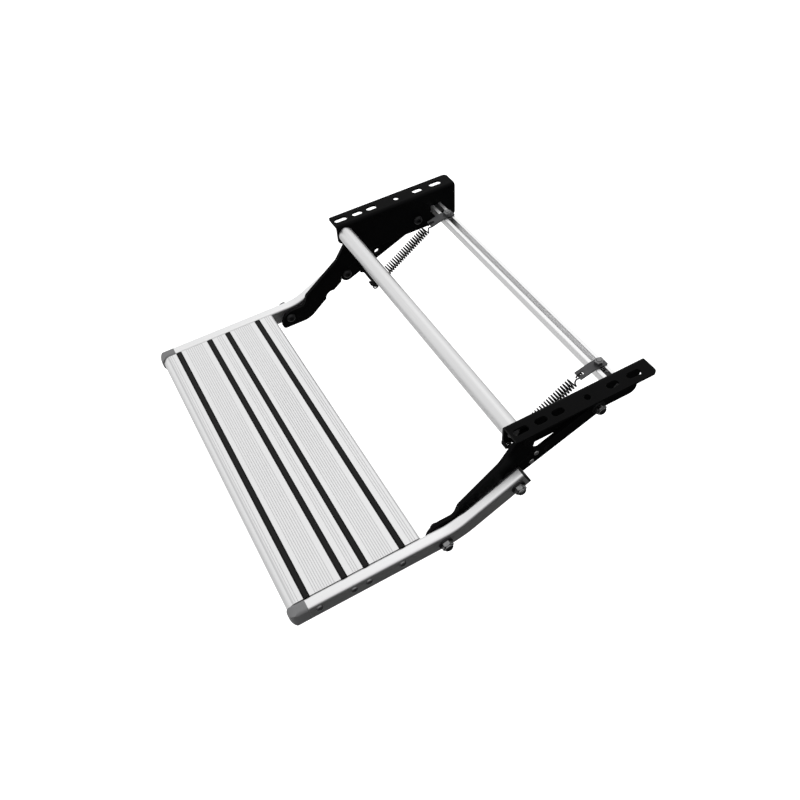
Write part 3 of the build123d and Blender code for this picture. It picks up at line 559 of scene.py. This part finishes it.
# Grip strips: black rubber pressed into the plank's undercut grooves. A raised middle band with
# fine cross ribs stands between two soft lips that close the groove.
grip_rubber, tree, shader = finish("black_grip_rubber", Specular_IOR_Level=0.2)
dust = grain(tree, 700.0, detail=3.0)
scuff = grain(tree, 60.0)
feed(shader, Base_Color=(0.5 * dust + 0.5 * scuff).blend((0.004, 0.004, 0.004), (0.014, 0.014, 0.014)))
feed(shader, Roughness=0.5 + 0.25 * dust)
foot_rise = 0.002
neck_half = 0.00385
rib_pitch = 0.0016
rib_depth = 0.00015
ribbed_half = 0.0023
ribbed_drop = 0.0003
millimetre = 0.001
crown = [(3.85, -0.9), (3.7, -0.45), (3.2, -0.25), (2.8, -0.75), (2.4, -0.75)]
crown += [(2.15, -0.12), (1.2, 0), (0, 0)]
for i in range(1, 5):
    low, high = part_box(f"grip_strip_{i}")
    middle = (low[1] + high[1]) / 2
    foot_half = (high[1] - low[1]) / 2
    half = [(foot_half, low[2]), (foot_half, low[2] + foot_rise), (neck_half, low[2] + foot_rise)]
    half += [(reach * millimetre, high[2] + rise * millimetre) for reach, rise in crown]
    profile = half + [(-reach, z) for reach, z in reversed(half[:-1])]
    strip = bmesh.new()
    count = 2 * round((high[0] - low[0]) / rib_pitch)
    loops = []
    for j in range(count + 1):
        x = low[0] + (high[0] - low[0]) * j / count
        loop = []
        for reach, z in profile:
            ribbed = j % 2 and abs(reach) < ribbed_half and z > high[2] - ribbed_drop
            loop.append(strip.verts.new((x, middle + reach, z - rib_depth if ribbed else z)))
        loops.append(loop)
    for near, far in zip(loops, loops[1:]):
        for k in range(len(profile)):
            strip.faces.new((near[k - 1], near[k], far[k], far[k - 1]))
    strip.faces.new(loops[0])
    strip.faces.new(loops[-1])
    piece_from(f"rubber_strip_{i}", strip, grip_rubber, "step", "grip_rubber", f"grip_strip_{i}")

# Side rails: square aluminium tube, bent up at the back to meet the rear arms, and brightly
# anodised. The draw lines run along each rail.
rail_aluminium, tree, shader = finish("bright_rail_aluminium", Metallic=1.0)
lines = grain(tree, 1.0, stretch=(800, 5, 5))
cloud = grain(tree, 12.0)
feed(shader, Base_Color=(0.5 * lines + 0.5 * cloud).blend((0.86, 0.86, 0.865), (0.93, 0.93, 0.93)))
feed(shader, Roughness=0.28 + 0.08 * lines + 0.08 * cloud)
feed(shader, Normal=bumped(tree, lines, 0.04, 0.0001, eased(tree, 0.0004)))
dress(rail_aluminium, "rail_left", "rail_right")

# Front caps and rear plugs: mouldings pushed into the rails' ends. The grey caps go on with the
# rails' own rounded corner, and the flat black plugs close the tails.
dress(moulded("grey_moulding", 0.2, 0.27), "front_cap_left", "front_cap_right")
dress(black_plastic, "rail_plug_left", "rail_plug_right")

# Rail screws: zinc plated pan head screws with a cross recess, four through each rail into the
# ports of the plank.
pan_radius = 0.004
screw_radius = 0.0021
screw_tip = 0.0012
screw_taper = 0.003
recess_arm = 0.0021
recess_half = 0.00045
screw_offsets = (-0.053, -0.0095, 0.0095, 0.053)


def cross(angle):
    """The reach of the cross recess at any angle."""
    turned = abs((angle + math.pi / 4) % (math.pi / 2) - math.pi / 4)
    return min(recess_arm, recess_half / max(math.sin(turned), 0.01))


screw_inner, screw_top, screw_middle = across("rail_screws")
screw_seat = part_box("rail_right")[1][0]
plank_middle = (plank_low[1] + plank_high[1]) / 2
pan = screw_top - screw_seat
screws = bmesh.new()
for way in ways:
    for offset in screw_offsets:
        rings = [(screw_inner, screw_tip, None), (screw_inner + screw_taper, screw_radius, None)]
        rings += [(screw_seat, screw_radius, None), (screw_seat, pan_radius, None)]
        for rise, share in ((0.35, 1), (0.75, 0.88), (0.95, 0.68), (1, 0.55)):
            rings.append((screw_seat + rise * pan, share * pan_radius, None))
        rings += [(screw_top, 0.54 * pan_radius, cross), (screw_top - 0.6 * pan, 0.4 * pan_radius, cross)]
        turn(screws, Vector((0, plank_middle + offset, screw_middle.z)), way, rings, steps=72)
piece_from("rail_pan_screws", screws, zinc_plate, "step", "zinc_steel", "rail_screws")

# Tread pivots: button head bolts through the front arms and the rails, with a spacer between them,
# a broad dark washer and a lock nut outside.
tread_bolts = bmesh.new()
tread_nuts = bmesh.new()
head, tip, middle = across("tread_pivot_bolts")
nut_seat, nut_end = across("tread_pivot_nuts")[:2]
for way in ways:
    button_bolt(tread_bolts, middle, way, head, nut_end - thread_lead, tip)
    lock_nut(tread_nuts, middle, way, nut_seat, nut_end)
piece_from("tread_button_bolts", tread_bolts, black_oxide, "step", "zinc_steel", "tread_pivot_bolts")
piece_from("tread_lock_nuts", tread_nuts, bright_zinc, "step", "zinc_steel", "tread_pivot_nuts")
dress(black_oxide, "tread_pivot_washers", "tread_pivot_spacers")

# Link pivots: the same bolts through the rear arms and the rails' tails. The head and spacer turn
# with the arm, and the threaded end with the rail.
link_heads = bmesh.new()
link_studs = bmesh.new()
link_nuts = bmesh.new()
head, shank_end, middle = across("link_pivot_heads")
stud_start, tip = across("link_pivot_studs")[:2]
nut_seat, nut_end = across("link_pivot_nuts")[:2]
for way in ways:
    button_bolt(link_heads, middle, way, head, shank_end - thread_lead, shank_end)
    rings = [(stud_start, m8_radius, None), (nut_end - thread_lead, m8_radius, None)]
    turn(link_studs, middle, way, rings + thread_rings(nut_end - thread_lead, tip, **m8_thread))
    lock_nut(link_nuts, middle, way, nut_seat, nut_end)
piece_from("link_button_heads", link_heads, black_oxide, "rear_arms", "zinc_steel", "link_pivot_heads")
piece_from("link_threaded_ends", link_studs, bright_zinc, "step", "zinc_steel", "link_pivot_studs")
piece_from("link_lock_nuts", link_nuts, bright_zinc, "step", "zinc_steel", "link_pivot_nuts")
dress(black_oxide, "link_pivot_washers", "link_pivot_spacers")


# Studio: a white paper floor and a white room for the camera, well away from the step. What the
# step mirrors is a card below it, pale to its left and dark to its right, and soft light from above.
def stage_piece(name, shape, material):
    """A piece of the studio, which isn't part of the step."""
    mesh = bpy.data.meshes.new(name)
    shape.to_mesh(mesh)
    shape.free()
    mesh.materials.append(material)
    made = bpy.data.objects.new(name, mesh)
    bpy.context.scene.collection.objects.link(made)
    made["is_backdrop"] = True
    return made


def sheet(reach, height):
    """A flat square sheet, round the step's middle."""
    shape = bmesh.new()
    corners = ((-reach, -reach), (reach, -reach), (reach, reach), (-reach, reach))
    shape.faces.new([shape.verts.new((x, y, height)) for x, y in corners])
    return shape


floor_reach = 6.0
floor_height = -1.2
card_height = -1.19
card_join = 0.15
room_radius = 8.0
white = (1, 1, 1, 1)
paper, tree, shader = finish("studio_paper", Roughness=0.9, Emission_Color=white, Emission_Strength=1.05)
feed(shader, Base_Color=grain(tree, 3.0).blend((0.3, 0.3, 0.3), (0.32, 0.32, 0.32)))
stage_piece("studio_floor", sheet(floor_reach, floor_height), paper)
shell = bmesh.new()
bmesh.ops.create_uvsphere(shell, u_segments=48, v_segments=24, radius=room_radius)
room = stage_piece("studio_room", shell, paper)
for ray in ("diffuse", "glossy", "transmission", "shadow"):
    setattr(room, "visible_" + ray, False)

felt, tree, shader = finish("two_tone_felt", Roughness=1.0, Specular_IOR_Level=0.0)
sideways = tree.node("SeparateXYZ", {}, {"Vector": place(tree)}, output="X")
feed(shader, Base_Color=(sideways > card_join).blend((0.76, 0.76, 0.76), (0.02, 0.02, 0.02)))
card = stage_piece("studio_card", sheet(floor_reach, card_height), felt)
card.visible_camera = False
card.visible_shadow = False

air = bpy.data.worlds.new("studio_air")
bpy.context.scene.world = air
air.use_nodes = True
sky = Socket(air.node_tree)
brightest_way = (-0.6, 0, 0.8)
ways_compared = {0: sky.node("TexCoord", output="Generated"), 1: brightest_way}
towards_light = sky.node("VectorMath", {"operation": "DOT_PRODUCT"}, ways_compared, output="Value")
glow = {"Value": towards_light, "From Min": -0.5, "From Max": 0.6, "To Min": 0.05, "To Max": 0.88}
background = air.node_tree.nodes["Background"]
background.inputs["Color"].default_value = white
feed(background, Strength=sky.node("MapRange", {"interpolation_type": "SMOOTHSTEP"}, glow))
lamp = bpy.data.lights.new("soft_lamp", "AREA")
lamp.energy = 3
lamp.size = 2.0
soft_lamp = bpy.data.objects.new("soft_lamp", lamp)
soft_lamp.location = (-1.36, 1.1, 2.0)
bpy.context.scene.collection.objects.link(soft_lamp)

# Camera: above the step's front right corner, rolled a little, as the photograph was taken. It shows
# colours as they are, with no film look.
camera_place = Vector((0.62948, -0.42613, 0.67959))
azimuth = math.radians(64.57)
elevation = math.radians(50.02)
roll = math.radians(-4.94)
level_reach = math.cos(elevation)
back = Vector((math.sin(azimuth) * level_reach, -math.cos(azimuth) * level_reach, math.sin(elevation)))
level = up.cross(back).normalized()
upright = back.cross(level)
right = level * math.cos(roll) + upright * math.sin(roll)
above = upright * math.cos(roll) - level * math.sin(roll)
lens = bpy.data.cameras.new("camera")
lens.lens = 35.03
lens.sensor_width = 36
camera = bpy.data.objects.new("camera", lens)
camera.matrix_world = Matrix.Translation(camera_place) @ Matrix((right, above, back)).transposed().to_4x4()
bpy.context.scene.collection.objects.link(camera)
bpy.context.scene.camera = camera
bpy.context.scene.view_settings.view_transform = "Standard"

low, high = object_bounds()
